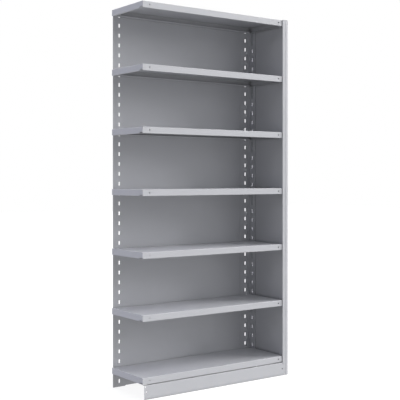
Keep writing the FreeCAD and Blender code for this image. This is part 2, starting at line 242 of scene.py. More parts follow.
def bake(piece: Object) -> None:
    """Turns a piece and its modifiers into one plain mesh with smooth bends and crisp edges.

    Args:
        piece: the piece, which keeps its first material.
    """
    finish = piece.data.materials[0]
    mesh = evaluate(piece)
    mesh.materials.clear()
    mesh.materials.append(finish)
    mesh.polygons.foreach_set("material_index", [0] * len(mesh.polygons))
    mesh.polygons.foreach_set("use_smooth", [True] * len(mesh.polygons))
    mesh.set_sharp_from_angle(angle=CREASE)
    flats = piece.modifiers.new("flat_faces", "WEIGHTED_NORMAL")
    flats.keep_sharp = True
    flats.weight = 100  # the largest value: big faces win, so that they look flat
    evaluate(piece)


def settle(piece: Object, node: str) -> None:
    """Bakes a piece and lets it stand for a node of the frame.

    Args:
        piece: the piece.
        node: the node that it replaces.
    """
    bake(piece)
    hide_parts(node)
    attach(piece, "frame")
    log.info("%s replaces %s, %d faces", piece.name, node, len(piece.data.polygons))


# ---- finishes

def seen_directly(tree: NodeTree) -> NodeSocket:
    """Tells camera, reflected and transmitted rays from the rays that gather soft light.

    Args:
        tree: a world or material tree.

    Returns:
        A socket that is 1 for what the eye sees, directly or in a reflection.
    """
    path = add_node(tree, "ShaderNodeLightPath").outputs
    mirrored = add_node(tree, "ShaderNodeMath", {0: path["Is Camera Ray"], 1: path["Is Glossy Ray"]},
                        operation="MAXIMUM")
    seen = add_node(tree, "ShaderNodeMath", {0: mirrored.outputs[0], 1: path["Is Transmission Ray"]},
                    operation="MAXIMUM")
    return seen.outputs[0]


class Finish:
    """What every material starts from."""

    name: str

    def start(self) -> tuple[Material, NodeTree, Node, NodeSocket]:
        """Makes an empty material.

        Returns:
            The material, its tree, its shader and the object coordinates in metres.
        """
        material = bpy.data.materials.new(self.name)
        material.use_nodes = True
        tree = material.node_tree
        coordinates = add_node(tree, "ShaderNodeTexCoord")
        return material, tree, tree.nodes["Principled BSDF"], coordinates.outputs["Object"]


@dataclass(frozen=True)
class PowderCoat(Finish):
    """Light grey polyester powder, sprayed and baked on cold-rolled sheet."""

    name: str = "powder_coat_light_grey_baked"
    thin: str = "#B4B5BA"
    thick: str = "#B8B9BE"
    cloud_mm: float = 90.0
    peel_mm: float = 2.6
    peel_detail: float = 1.5
    peel_height_mm: float = 0.012
    speck_mm: float = 0.7
    speck_detail: float = 1.0
    speck_range: tuple[float, float] = (0.3, 0.7)
    roughness: tuple[float, float] = (0.30, 0.38)
    painted_fold_shade_mm: float = 0.0                 # reach of the painted shade inside a fold, 0 for none
    fold_shade: float = 0.25
    fold_open: float = 0.8               # how open a place is where the dark ends
    fold_samples: int = 8
    edge_shadow_line_mm: float = 0.0                 # width of the painted shadow line along a cut edge, 0 for none
    edge_shade: float = 0.6
    edge_place: float = 0.0              # depth of that edge

    def material(self) -> Material:
        """Builds the paint: cloudy film thickness, orange peel and a fine dry speckle.

        Returns:
            The finished material.
        """
        material, tree, shader, place = self.start()
        # the film is a little thicker in some places, which the eye takes as depth in the grey
        cloud = add_node(tree, "ShaderNodeTexNoise", {"Vector": place, "Scale": 1 / (self.cloud_mm * MM)})
        colour = add_node(tree, "ShaderNodeMix", {
            "Factor": cloud.outputs["Fac"], "A": linear(self.thin), "B": linear(self.thick),
        }, data_type="RGBA")
        # painted shade: each mask mixes the paint towards black where it is low
        for shade in self.painted_shade_places(tree, place):
            colour = add_node(tree, "ShaderNodeMix", {
                "Factor": shade, "A": BLACK, "B": colour.outputs["Result"]}, data_type="RGBA")
        tree.links.new(colour.outputs["Result"], shader.inputs["Base Color"])
        # dry specks break the highlight up, so that it looks satin and not polished
        speck = add_node(tree, "ShaderNodeTexNoise", {
            "Vector": place, "Scale": 1 / (self.speck_mm * MM), "Detail": self.speck_detail})
        rough = add_node(tree, "ShaderNodeMapRange", {
            "Value": speck.outputs["Fac"], "From Min": self.speck_range[0], "From Max": self.speck_range[1],
            "To Min": self.roughness[0], "To Max": self.roughness[1]})
        tree.links.new(rough.outputs["Result"], shader.inputs["Roughness"])
        # orange peel bends the reflections of the soft boxes by a hair
        peel = add_node(tree, "ShaderNodeTexNoise", {
            "Vector": place, "Scale": 1 / (self.peel_mm * MM), "Detail": self.peel_detail})
        bump = add_node(tree, "ShaderNodeBump", {
            "Height": peel.outputs["Fac"], "Strength": 1.0, "Distance": self.peel_height_mm * MM})
        tree.links.new(bump.outputs["Normal"], shader.inputs["Normal"])
        return material

    def painted_shade_places(self, tree: NodeTree, place: NodeSocket) -> list[NodeSocket]:
        """Finds where shade is painted into the paint's colour: inside narrow folds and along a cut edge.

        Args:
            tree: the paint's tree.
            place: object coordinates, in metres.

        Returns:
            Brightness of the paint, from 0 to 1, for each kind of such places.
        """
        shades = []
        if self.painted_fold_shade_mm:
            # painted shade: ambient occlusion darkens the paint inside narrow folds and corners, where shade
            # falls
            open_sky = add_node(tree, "ShaderNodeAmbientOcclusion", {"Distance": self.painted_fold_shade_mm * MM},
                                samples=self.fold_samples)
            shades.append(add_node(tree, "ShaderNodeMapRange", {
                "Value": open_sky.outputs["AO"], "From Max": self.fold_open,
                "To Min": self.fold_shade, "To Max": 1.0}))
        if self.edge_shadow_line_mm:
            # painted shadow: a thin dark line along the cut front edge of the sheet, standing in for the
            # shade in the gap to the panel beside it
            depth = add_node(tree, "ShaderNodeSeparateXYZ", {"Vector": place}).outputs["Y"]
            width = self.edge_shadow_line_mm * MM
            shades.append(add_node(tree, "ShaderNodeMapRange", {
                "Value": depth, "From Min": self.edge_place + width / 2, "From Max": self.edge_place + width,
                "To Min": self.edge_shade, "To Max": 1.0}))
        return [shade.outputs["Result"] for shade in shades]


@dataclass(frozen=True)
class ZincPlate(Finish):
    """Bright zinc plate on small pressed steel parts."""

    name: str = "zinc_plate_bright_passivated"
    light: str = "#C9CCCF"
    dull: str = "#A9ABA9"
    spangle_mm: float = 0.9
    scratch_mm: float = 0.25
    scratch_strength: float = 0.6
    scratch_depth_mm: float = 0.01
    roughness: tuple[float, float] = (0.24, 0.42)

    def material(self) -> Material:
        """Builds the plating: small crystals that differ in shade and gloss, and tumbling marks.

        Returns:
            The finished material.
        """
        material, tree, shader, place = self.start()
        shader.inputs["Metallic"].default_value = 1.0
        # each crystal takes its own shade and gloss, which makes the plating glitter faintly
        spangle = add_node(tree, "ShaderNodeTexVoronoi", {
            "Vector": place, "Scale": 1 / (self.spangle_mm * MM)})
        chance = add_node(tree, "ShaderNodeSeparateColor", {"Color": spangle.outputs["Color"]}).outputs
        colour = add_node(tree, "ShaderNodeMix", {
            "Factor": chance["Red"], "A": linear(self.light), "B": linear(self.dull)}, data_type="RGBA")
        tree.links.new(colour.outputs["Result"], shader.inputs["Base Color"])
        rough = add_node(tree, "ShaderNodeMapRange", {
            "Value": chance["Green"], "To Min": self.roughness[0], "To Max": self.roughness[1]})
        tree.links.new(rough.outputs["Result"], shader.inputs["Roughness"])
        # the parts knock against each other in the plating drum, which leaves fine bright marks
        mark = add_node(tree, "ShaderNodeTexNoise", {"Vector": place, "Scale": 1 / (self.scratch_mm * MM)})
        bump = add_node(tree, "ShaderNodeBump", {
            "Height": mark.outputs["Fac"], "Strength": self.scratch_strength,
            "Distance": self.scratch_depth_mm * MM})
        tree.links.new(bump.outputs["Normal"], shader.inputs["Normal"])
        return material


@dataclass(frozen=True)
class StudioPaper(Finish):
    """White paper sweep that reads as pure white and still takes the object's soft shadow."""

    name: str = "studio_paper_white_rolled"
    bounce: tuple[float, float, float] = (0.66, 0.66, 0.65)
    lit: float = 0.24                    # share of the light that it takes as paper does
    glow: float = 0.87                   # what it gives off by itself, to read as white
    fibre_mm: float = 6.0
    fibre_tone: float = 0.01
    under_start: float = 0.15            # from the open end of the bay to where the painted shade on the floor under the base shelf starts
    under_reach: float = 0.06
    under_shade_depth: float = 0.8
    under_edge: float = 0.03

    def material(self) -> Material:
        """Builds the paper: white to the camera and in reflections, an even bounce for soft light.

        Returns:
            The finished material.
        """
        material, tree, shader, place = self.start()
        tree.nodes.remove(shader)
        # a breath of fibre in the paper, too faint to be seen as a pattern
        fibre = add_node(tree, "ShaderNodeTexNoise", {"Vector": place, "Scale": 1 / (self.fibre_mm * MM)})
        tone = add_node(tree, "ShaderNodeMapRange", {
            "Value": fibre.outputs["Fac"], "To Min": self.lit - self.fibre_tone,
            "To Max": self.lit + self.fibre_tone})
        lit = add_node(tree, "ShaderNodeBsdfDiffuse", {"Color": tone.outputs["Result"]})
        # painted shade: the glow fades on the floor under the base shelf
        strength = add_node(tree, "ShaderNodeMapRange", {
            "Value": self.painted_shade_underneath(tree, place), "To Min": self.glow,
            "To Max": self.glow * (1 - self.under_shade_depth)})
        glow = add_node(tree, "ShaderNodeEmission", {"Color": WHITE, "Strength": strength.outputs["Result"]})
        white = add_node(tree, "ShaderNodeAddShader", {0: lit.outputs[0], 1: glow.outputs[0]})
        soft = add_node(tree, "ShaderNodeEmission", {"Color": (*self.bounce, 1.0)})
        mixed = add_node(tree, "ShaderNodeMixShader", {
            0: seen_directly(tree), 1: soft.outputs[0], 2: white.outputs[0]})
        # the sheet is seen from above only, so that the object can also be looked at from below
        below = add_node(tree, "ShaderNodeNewGeometry").outputs["Backfacing"]
        clear = add_node(tree, "ShaderNodeBsdfTransparent")
        sheet = add_node(tree, "ShaderNodeMixShader", {0: below, 1: mixed.outputs[0], 2: clear.outputs[0]})
        tree.links.new(sheet.outputs[0], tree.nodes["Material Output"].inputs["Surface"])
        return material

    def painted_shade_underneath(self, tree: NodeTree, place: NodeSocket) -> NodeSocket:
        """Marks the closed-in floor under the base shelf, where shade is painted by fading the paper's glow;
        the mask rises from the open left end.

        Args:
            tree: the paper's tree.
            place: object coordinates, in metres.

        Returns:
            A socket that rises to 1 deep under the shelf.
        """
        low, high = (Vector(corner) for corner in CAD_BOX)
        x, y = add_node(tree, "ShaderNodeSeparateXYZ", {"Vector": place}).outputs[:2]
        start = low.x + self.under_start
        ramps = [(x, start, start + self.under_reach), (x, high.x, high.x - self.under_edge),
                 (y, low.y, low.y + self.under_edge), (y, high.y, high.y - self.under_edge)]
        inside = 1.0
        for value, nothing, full in ramps:
            ramp = add_node(tree, "ShaderNodeMapRange", {
                "Value": value, "From Min": nothing, "From Max": full}, interpolation_type="SMOOTHSTEP")
            inside = add_node(tree, "ShaderNodeMath", {0: inside, 1: ramp.outputs["Result"]},
                              operation="MULTIPLY").outputs[0]
        return inside


# ---- node trees that make what repeats

class SocketKind(Enum):
    """Kinds of input that the geometry trees take."""

    LENGTH = "NodeSocketFloat"
    NUMBER = "NodeSocketInt"
    PLACE = "NodeSocketVector"
    FINISH = "NodeSocketMaterial"


class GeometryTree:
    """A geometry node tree with named inputs, and the modifier that runs it."""

    name: str
    sockets: dict[SocketKind, tuple[str, ...]]

    def __init__(self) -> None:
        """Makes the tree with its sockets and lets the subclass fill it."""
        self.tree = bpy.data.node_groups.new(self.name, "GeometryNodeTree")
        interface = self.tree.interface
        interface.new_socket("Geometry", in_out="INPUT", socket_type="NodeSocketGeometry")
        sockets = {**self.sockets, SocketKind.FINISH: ("Finish",)}
        for kind, labels in sockets.items():
            for label in labels:
                interface.new_socket(label, in_out="INPUT", socket_type=kind.value)
        interface.new_socket("Geometry", in_out="OUTPUT", socket_type="NodeSocketGeometry")
        self.given = add_node(self.tree, "NodeGroupInput").outputs
        real = self.add("GeometryNodeRealizeInstances", {"Geometry": self.build()})
        dressed = self.add("GeometryNodeSetMaterial", {"Geometry": real, "Material": self.given["Finish"]})
        add_node(self.tree, "NodeGroupOutput", {"Geometry": dressed})

    def build(self) -> NodeSocket:
        """Adds the nodes that make the geometry and gives back its socket."""
        raise NotImplementedError

    def add(self, kind: str, inputs: dict | None = None, **settings: object) -> NodeSocket:
        """Adds one node, as add_node does, and gives back its first output."""
        return add_node(self.tree, kind, inputs, **settings).outputs[0]

    def run(self, piece: Object, values: dict[str, object]) -> None:
        """Puts the tree on a piece.

        Args:
            piece: the piece whose mesh is the tree's input.
            values: a value for each named input.
        """
        modifier = piece.modifiers.new(self.name, "NODES")
        modifier.node_group = self.tree
        for socket in self.tree.interface.items_tree:
            if socket.name in values:
                modifier[socket.identifier] = values[socket.name]


class SlottedSheetTree(GeometryTree):
    """A flat web with a column of round-ended slots, and the folds beside it.

    The web is filled between its outline and the slot outlines. The chain of edges that comes in
    is the line of the folds, drawn on the floor, and it is pulled up to the same height.
    """

    name = "slotted_sheet"
    sockets = {
        SocketKind.PLACE: ("Corner", "Across"),
        SocketKind.LENGTH: ("Web Width", "Height", "Slot Width", "Slot Height", "Slot Place", "First Slot",
                            "Slot Pitch"),
        SocketKind.NUMBER: ("Slot Count",),
    }
    rounding = 0.49                      # of the slot's width: a hair less than half
    rounding_steps = 6
    join_reach = 0.02 * MM

    def build(self) -> NodeSocket:
        """Adds the web, its slots and the folds.

        Returns:
            The sheet, which has no gauge yet.
        """
        edges = self.add("GeometryNodeJoinGeometry", {"Geometry": [self.outline(), self.slots()]})
        web = self.add("GeometryNodeFillCurve", {"Curve": edges}, mode="NGONS")
        web = self.add("GeometryNodeSetPosition", {"Geometry": web, "Position": self.stood_up()})
        folds = self.add("GeometryNodeExtrudeMesh", {
            "Mesh": self.given["Geometry"], "Offset": self.add("ShaderNodeCombineXYZ", {"Z": 1.0}),
            "Offset Scale": self.given["Height"]}, mode="EDGES")
        turned = self.add("GeometryNodeFlipFaces", {"Mesh": folds})
        sheet = self.add("GeometryNodeJoinGeometry", {"Geometry": [web, turned]})
        return self.add("GeometryNodeMergeByDistance", {"Geometry": sheet, "Distance": self.join_reach})

    def outline(self) -> NodeSocket:
        """Adds the outline of the web, flat on the floor.

        Returns:
            A closed curve with its low corner at the origin.
        """
        width, height = self.given["Web Width"], self.given["Height"]
        outline = self.add("GeometryNodeCurvePrimitiveQuadrilateral", {"Width": width, "Height": height})
        middle_x, middle_y = (self.add("ShaderNodeMath", {0: size, 1: 2.0}, operation="DIVIDE")
                              for size in (width, height))
        middle = self.add("ShaderNodeCombineXYZ", {"X": middle_x, "Y": middle_y})
        return self.add("GeometryNodeTransform", {"Geometry": outline, "Translation": middle})

    def slots(self) -> NodeSocket:
        """Adds the outlines of the slots, flat on the floor.

        Returns:
            One closed curve for each slot.
        """
        given = self.given
        slot = self.add("GeometryNodeCurvePrimitiveQuadrilateral", {
            "Width": given["Slot Width"], "Height": given["Slot Height"]})
        radius = self.add("ShaderNodeMath", {0: given["Slot Width"], 1: self.rounding}, operation="MULTIPLY")
        slot = self.add("GeometryNodeFilletCurve", {
            "Curve": slot, "Radius": radius, "Count": self.rounding_steps, "Limit Radius": True}, mode="POLY")
        first = self.add("ShaderNodeCombineXYZ", {"X": given["Slot Place"], "Y": given["First Slot"]})
        step = self.add("ShaderNodeCombineXYZ", {"Y": given["Slot Pitch"]})
        column = self.add("GeometryNodeMeshLine", {
            "Count": given["Slot Count"], "Start Location": first, "Offset": step})
        slots = self.add("GeometryNodeInstanceOnPoints", {"Points": column, "Instance": slot})
        return self.add("GeometryNodeRealizeInstances", {"Geometry": slots})

    def stood_up(self) -> NodeSocket:
        """Works out where the web's points go when it stands up at its corner.

        Returns:
            The new place of each point.
        """
        position = self.add("GeometryNodeInputPosition")
        x, y = add_node(self.tree, "ShaderNodeSeparateXYZ", {"Vector": position}).outputs[:2]
        sideways = self.add("ShaderNodeVectorMath", {0: self.given["Across"], "Scale": x}, operation="SCALE")
        rise = self.add("ShaderNodeCombineXYZ", {"Z": y})
        risen = self.add("ShaderNodeVectorMath", {0: sideways, 1: rise}, operation="ADD")
        return self.add("ShaderNodeVectorMath", {0: risen, 1: self.given["Corner"]}, operation="ADD")


@dataclass
class Grid:
    """Where the copies of one part stand, and how far chance may turn each one."""

    start: Vector
    row_step: Vector
    rows: int
    column_step: Vector = field(default_factory=UP.copy)
    columns: int = 1
    most_turn: float = 0.0
    seed: int = 1


class RepeatedPartTree(GeometryTree):
    """Copies of one part on a grid of columns and rows, each turned by chance round the depth axis."""

    name = "repeated_part"
    sockets = {
        SocketKind.PLACE: ("Start", "Column Step", "Row Step"),
        SocketKind.LENGTH: ("Most Turn",),
        SocketKind.NUMBER: ("Columns", "Rows", "Seed"),
    }

    def build(self) -> NodeSocket:
        """Adds the grid of points and the copies on it.

        Returns:
            The copies.
        """
        given = self.given
        columns = self.add("GeometryNodeMeshLine", {
            "Count": given["Columns"], "Start Location": given["Start"], "Offset": given["Column Step"]})
        rows = self.add("GeometryNodeMeshLine", {"Count": given["Rows"], "Offset": given["Row Step"]})
        places = self.add("GeometryNodeInstanceOnPoints", {"Points": columns, "Instance": rows})
        places = self.add("GeometryNodeRealizeInstances", {"Geometry": places})
        chance = add_node(self.tree, "FunctionNodeRandomValue", {
            "Max": given["Most Turn"], "Seed": given["Seed"]}, data_type="FLOAT")
        turn = next(socket for socket in chance.outputs if socket.enabled)
        turned = self.add("ShaderNodeCombineXYZ", {"Y": turn})
        return self.add("GeometryNodeInstanceOnPoints", {
            "Points": places, "Instance": given["Geometry"], "Rotation": turned})

    def repeat(self, name: str, mesh: Mesh, grid: Grid, finish: Material) -> Object:
        """Makes a piece of copies of one part.

        Args:
            name: name of the piece.
            mesh: the part.
            grid: where its copies stand.
            finish: its material.

        Returns:
            The piece, not baked yet.
        """
        piece = new_piece(name, mesh, finish)
        self.run(piece, {
            "Start": grid.start, "Column Step": grid.column_step, "Columns": grid.columns,
            "Row Step": grid.row_step, "Rows": grid.rows, "Most Turn": grid.most_turn,
            "Seed": grid.seed, "Finish": finish,
        })
        return piece


# ---- sheet parts

class Half(Enum):
    """Which half of the upright an angle is: this bay's or the next bay's."""

    INNER = -1
    OUTER = 1


class Place(Enum):
    """Which edge of the upright an angle closes, by the way that its flange faces."""

    FRONT = -1
    REAR = 1


@dataclass(frozen=True)
class SlotColumn:
    """One column of slots, in metres."""

    width: float
    first: float
    count: int = 38
    height: float = 20.0 * MM
    pitch: float = 50.0 * MM


@dataclass
class SlottedSheet:
    """One folded sheet with slots: its place, its folds and its gauge."""

    node: str
    corner: Vector
    across: Vector
    web_width: float
    height: float
    slot_place: float
    slots: SlotColumn
    gauge: float
    thicken: float                       # side that the gauge goes to, -1 or 1
    folds: list[Vector] = field(default_factory=list)
    edge_radius: float = 0.12 * MM

    def make(self, tree: SlottedSheetTree, finish: Material) -> None:
        """Builds the sheet and lets it stand for its node.

        Args:
            tree: the slotted sheet tree.
            finish: the paint.
        """
        piece = new_piece(self.node + "_sheet", edge_chain(self.node, self.folds), finish)
        tree.run(piece, {
            "Corner": self.corner, "Across": self.across, "Web Width": self.web_width, "Height": self.height,
            "Slot Width": self.slots.width, "Slot Height": self.slots.height, "Slot Place": self.slot_place,
            "First Slot": self.slots.first, "Slot Pitch": self.slots.pitch, "Slot Count": self.slots.count,
            "Finish": finish,
        })
        sheet = piece.modifiers.new("gauge", "SOLIDIFY")
        sheet.thickness = self.gauge
        sheet.offset = self.thicken
        sheet.use_even_offset = True
        round_off(piece, "deburred_edge", self.edge_radius)
        settle(piece, self.node)


@dataclass
class Upright:
    """The four folded angles of the upright, back to back in pairs with the side panel between."""

    gauge: float = 1.2 * MM
    web_depth: float = 48.2 * MM
    bend: float = 1.8 * MM
    roll_depth: float = 4.6 * MM
    roll_return: float = 2.0 * MM
    roll_steps: int = 7
    # width of the painted shadow line along the rear angles' cut edge
    painted_edge_shadow_mm: float = 3.6
    front_slots: SlotColumn = SlotColumn(width=7.2 * MM, first=22.0 * MM)
    rear_slots: SlotColumn = SlotColumn(width=5.4 * MM, first=22.0 * MM)
    front_setback: float = 17.0 * MM     # from the flange's face to the middle of the slots
    rear_setback: float = 20.0 * MM

    def build(self, tree: SlottedSheetTree, finish: Material) -> None:
        """Builds all four angles, the rear ones with a painted shadow line along their cut edge.

        Args:
            tree: the slotted sheet tree.
            finish: the paint of the front angles.
        """
        low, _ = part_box("rear_post_inner")
        rear_finish = PowderCoat(name="powder_coat_light_grey_on_rear_angles",
                                 edge_shadow_line_mm=self.painted_edge_shadow_mm, edge_place=low.y).material()
        for half in Half:
            self.angle(Place.FRONT, half).make(tree, finish)
            self.angle(Place.REAR, half).make(tree, rear_finish)

    def angle(self, place: Place, half: Half) -> SlottedSheet:
        """Works out one angle. A front one ends in a rolled edge, a rear one is plain.

        Args:
            place: front or rear.
            half: which half of the upright.

        Returns:
            The sheet, not built yet.
        """
        node = f"{place.name}_post_{half.name}".lower()
        low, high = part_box(node)
        web_x, edge_x = (high.x, low.x) if half is Half.INNER else (low.x, high.x)
        if place is Place.FRONT:
            flange_y, slots, setback = low.y, self.front_slots, self.front_setback
        else:
            flange_y, slots, setback = high.y, self.rear_slots, self.rear_setback
        out, toward = Vector((half.value, 0, 0)), Vector((0, place.value, 0))
        web, edge = Vector((web_x, flange_y, 0)), Vector((edge_x, flange_y, 0))
        bend_start = web - toward * self.bend
        folds = [bend_start] + arc(bend_start + out * self.bend, -out * self.bend,
                                   toward * self.bend, BEND_STEPS)
        folds += self.rolled_edge(edge, out, toward) if place is Place.FRONT else [edge]
        return SlottedSheet(
            node=node, corner=web - toward * self.web_depth, across=toward,
            web_width=self.web_depth - self.bend, height=high.z,
            slot_place=self.web_depth - setback, slots=slots, gauge=self.gauge,
            thicken=half.value * place.value, folds=folds)

    def rolled_edge(self, edge: Vector, out: Vector, toward: Vector) -> list[Vector]:
        """Points of the roll along the edge of a front flange.

        Args:
            edge: where the flange ends.
            out: direction from the web to that edge.
            toward: direction from the web to the flange.

        Returns:
            The points in order.
        """
        radius = self.roll_depth / 2
        roll = edge - (out + toward) * radius
        points = [roll + toward * radius]
        points += arc(roll, toward * radius, out * radius, self.roll_steps)
        points += arc(roll, out * radius, -toward * radius, self.roll_steps)
        return points + [points[-1] - out * self.roll_return]


@dataclass
class RearClosure:
    """The two slotted strips behind the shelves and the panel welded between them."""

    gauge: float = 1.0 * MM
    slots: SlotColumn = SlotColumn(width=7.2 * MM, first=29.0 * MM)
    weld_radius: float = 3.0 * MM
    weld_height: float = 0.12 * MM
    weld_points: int = 20
    weld_pitch: float = 118.0 * MM
    weld_end_gap: float = 60.0 * MM
    # rings of a weld mark, as shares of its radius and height: a low rim round a hollow
    weld_profile: tuple[tuple[float, float], ...] = (
        (1.0, -0.3), (0.86, 1.0), (0.62, 0.85), (0.45, 0.25))

    def build(self, tree: SlottedSheetTree, copies: RepeatedPartTree, finish: Material) -> None:
        """Builds the strips, dresses the panel and adds the weld marks on its laps.

        Args:
            tree: the slotted sheet tree.
            copies: the tree that repeats a part.
            finish: the paint.
        """
        for node in ("back_strip_left", "back_strip_right"):
            low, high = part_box(node)
            width = high.x - low.x
            SlottedSheet(
                node=node, corner=low, across=Vector((1, 0, 0)), web_width=width,
                height=high.z, slot_place=width / 2, slots=self.slots, gauge=self.gauge,
                thicken=-1.0).make(tree, finish)
        dress("back_panel", finish)
        self.weld_marks(copies, finish)

    def weld_marks(self, copies: RepeatedPartTree, finish: Material) -> None:
        """Adds the shallow rings that the spot welder leaves on the laps.

        Args:
            copies: the tree that repeats a ring.
            finish: the paint.
        """
        low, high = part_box("back_panel")
        _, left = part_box("back_strip_left")
        rings = [ring(self.weld_radius * wide, self.weld_height * rise, self.weld_points)
                 for wide, rise in self.weld_profile]
        lap = (left.x - low.x) / 2
        rows = int((high.z - low.z - 2 * self.weld_end_gap) // self.weld_pitch) + 1
        piece = copies.repeat("spot_weld_marks", lofted("spot_weld", rings), Grid(
            start=Vector((low.x + lap, high.y, low.z + self.weld_end_gap)),
            row_step=UP * self.weld_pitch, rows=rows,
            column_step=Vector((high.x - low.x - 2 * lap, 0, 0)), columns=2), finish)
        bake(piece)
        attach(piece, "frame")
        log.info("spot weld marks, %d rows on each lap", rows)


def dress(node: str, finish: Material) -> None:
    """Gives a node of the frame its finish.

    Args:
        node: name of the node.
        finish: its material.
    """
    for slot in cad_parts[node].material_slots:
        slot.material = finish
    log.info("%s dressed in %s", node, finish.name)


@dataclass
class Trays:
    """The seven folded shelves, the kick plate under them and the side panel."""

    painted_fold_shade_mm: float = 25.0
    nodes: tuple[str, ...] = ("base_shelf", "shelf_1", "shelf_2", "shelf_3", "shelf_4",
                              "shelf_5", "top_shelf", "kick_plate", "side_panel")

    def build(self) -> None:
        """Dresses every plain sheet part in paint with shade painted into its folds."""
        finish = PowderCoat(name="powder_coat_light_grey_on_folded_trays",
                            painted_fold_shade_mm=self.painted_fold_shade_mm).material()
        for node in self.nodes:
            dress(node, finish)


# ---- clips and fasteners

def ring(radius: float, depth: float, count: int = 48) -> list[Vector]:
    """Round ring about the depth axis.

    Args:
        radius: its radius.
        depth: its place along the axis.
        count: number of points.

    Returns:
        The points in order.
    """
    turns = [2 * math.pi * index / count for index in range(count)]
    return [Vector((radius * math.cos(turn), depth, radius * math.sin(turn))) for turn in turns]


@dataclass(frozen=True)
class Shank:
    """The plain shank of a bolt or screw, which is tapered at its end, in metres."""

    radius: float
    taper: float
    taper_length: float

    def rings(self, length: float) -> list[list[Vector]]:
        """Rings from the thin end at depth 0 to the head."""
        return [ring(self.radius - self.taper, 0), ring(self.radius, self.taper_length),
                ring(self.radius, length)]


@dataclass(frozen=True)
class Hexagon:
    """A hexagonal head, nut or spacer with chamfered corners, in metres."""

    flats: float
    height: float
    face: float = 0.47                   # radius of its flat face, as a share of its flats
    dish: float = 0.3                    # radius of the shallow dish in a head, likewise
    dish_depth: float = 0.2 * MM
    chamfer: float = math.radians(30)

    def corner(self) -> float:
        """Radius at its corners."""
        return self.flats / math.sqrt(3)

    def ring(self, depth: float, cut: float = 0.0) -> list[Vector]:
        """Ring round the flats.

        Args:
            depth: its place along the axis.
            cut: +1 or -1 pulls the corners back along the axis, as the chamfer does.

        Returns:
            The points in order.
        """
        points = []
        for place in ring(1.0, depth):
            turn = math.atan2(place.z, place.x) % FLAT_TURN - FLAT_TURN / 2
            radius = self.flats / 2 / math.cos(turn)
            slope = (radius - self.flats / 2) * math.tan(self.chamfer)
            points.append(Vector((radius * place.x, depth - cut * slope, radius * place.z)))
        return points

    def head(self, under: float, top: float) -> list[list[Vector]]:
        """Rings of a head, from its underside to the shallow dish in its top."""
        return [self.ring(under), self.ring(top, cut=1.0), ring(self.face * self.flats, top),
                ring(self.dish * self.flats, top - self.dish_depth)]

    def bored(self, name: str, bore: float, countersink: float = 0.0) -> Mesh:
        """Makes a nut or spacer, which starts at depth 0.

        Args:
            name: name of the mesh.
            bore: radius of its bore.
            countersink: how far the bore opens at both ends.

        Returns:
            A closed mesh with both faces chamfered.
        """
        face, mouth = self.face * self.flats, bore + countersink
        rings = [ring(mouth, 0), ring(face, 0), self.ring(0, cut=-1.0),
                 self.ring(self.height, cut=1.0), ring(face, self.height),
                 ring(mouth, self.height)]
        if countersink:
            rings += [ring(bore, self.height - countersink), ring(bore, countersink)]
        return lofted(name, rings, bored=True)


@dataclass
class TieSet:
    """Bolts, nuts and spacers that tie the base shelf and the top shelf to the strips."""

    shank: Shank = Shank(radius=3.0 * MM, taper=0.5 * MM, taper_length=0.6 * MM)
    bolt: Hexagon = Hexagon(flats=10.0 * MM, height=4.0 * MM)
    washer_face: float = 0.3 * MM
    nut: Hexagon = Hexagon(flats=10.0 * MM, height=5.0 * MM)
    nut_countersink: float = 0.5 * MM
    spacer: Hexagon = Hexagon(flats=13.0 * MM, height=2.8 * MM, face=0.485)
    spacer_bore: float = 3.2 * MM
    seed: int = 11

    def build(self, copies: RepeatedPartTree, finish: Material) -> None:
        """Builds the three rows of parts.

        Args:
            copies: the tree that repeats a part.
            finish: the plating.
        """
        nut = self.nut.bored("tie_nut", self.shank.radius, self.nut_countersink)
        spacer = self.spacer.bored("tie_spacer", self.spacer_bore)
        self.place("tie_bolts", self.bolt_mesh(), self.bolt, copies, finish)
        self.place("tie_nuts", nut, self.nut, copies, finish)
        self.place("tie_spacers", spacer, self.spacer, copies, finish)

    def bolt_mesh(self) -> Mesh:
        """Makes a bolt with a washer face under its head.

        Returns:
            A closed mesh, with the end of the shank at depth 0.
        """
        low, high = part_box("tie_bolts")
        length = high.y - low.y
        under = length - self.bolt.height
        washer = self.bolt.face * self.bolt.flats
        rings = self.shank.rings(under)
        rings += [ring(washer, under), ring(washer, under + self.washer_face)]
        rings += self.bolt.head(under + self.washer_face, length)
        return lofted("tie_bolt", rings)

    def place(self, node: str, mesh: Mesh, shape: Hexagon, copies: RepeatedPartTree,
              finish: Material) -> None:
        """Puts one part at the four places of its node.

        Args:
            node: the node that the parts stand for.
            mesh: one part, which starts at depth 0.
            shape: its hexagon.
            copies: the tree that repeats it.
            finish: its plating.
        """
        low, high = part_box(node)
        half_width, half_height = shape.corner(), shape.flats / 2
        piece = copies.repeat(node + "_row", mesh, Grid(
            start=Vector((low.x + half_width, low.y, low.z + half_height)),
            row_step=UP * (high.z - low.z - 2 * half_height), rows=2,
            column_step=Vector((high.x - low.x - 2 * half_width, 0, 0)), columns=2,
            most_turn=FLAT_TURN, seed=self.seed), finish)
        settle(piece, node)


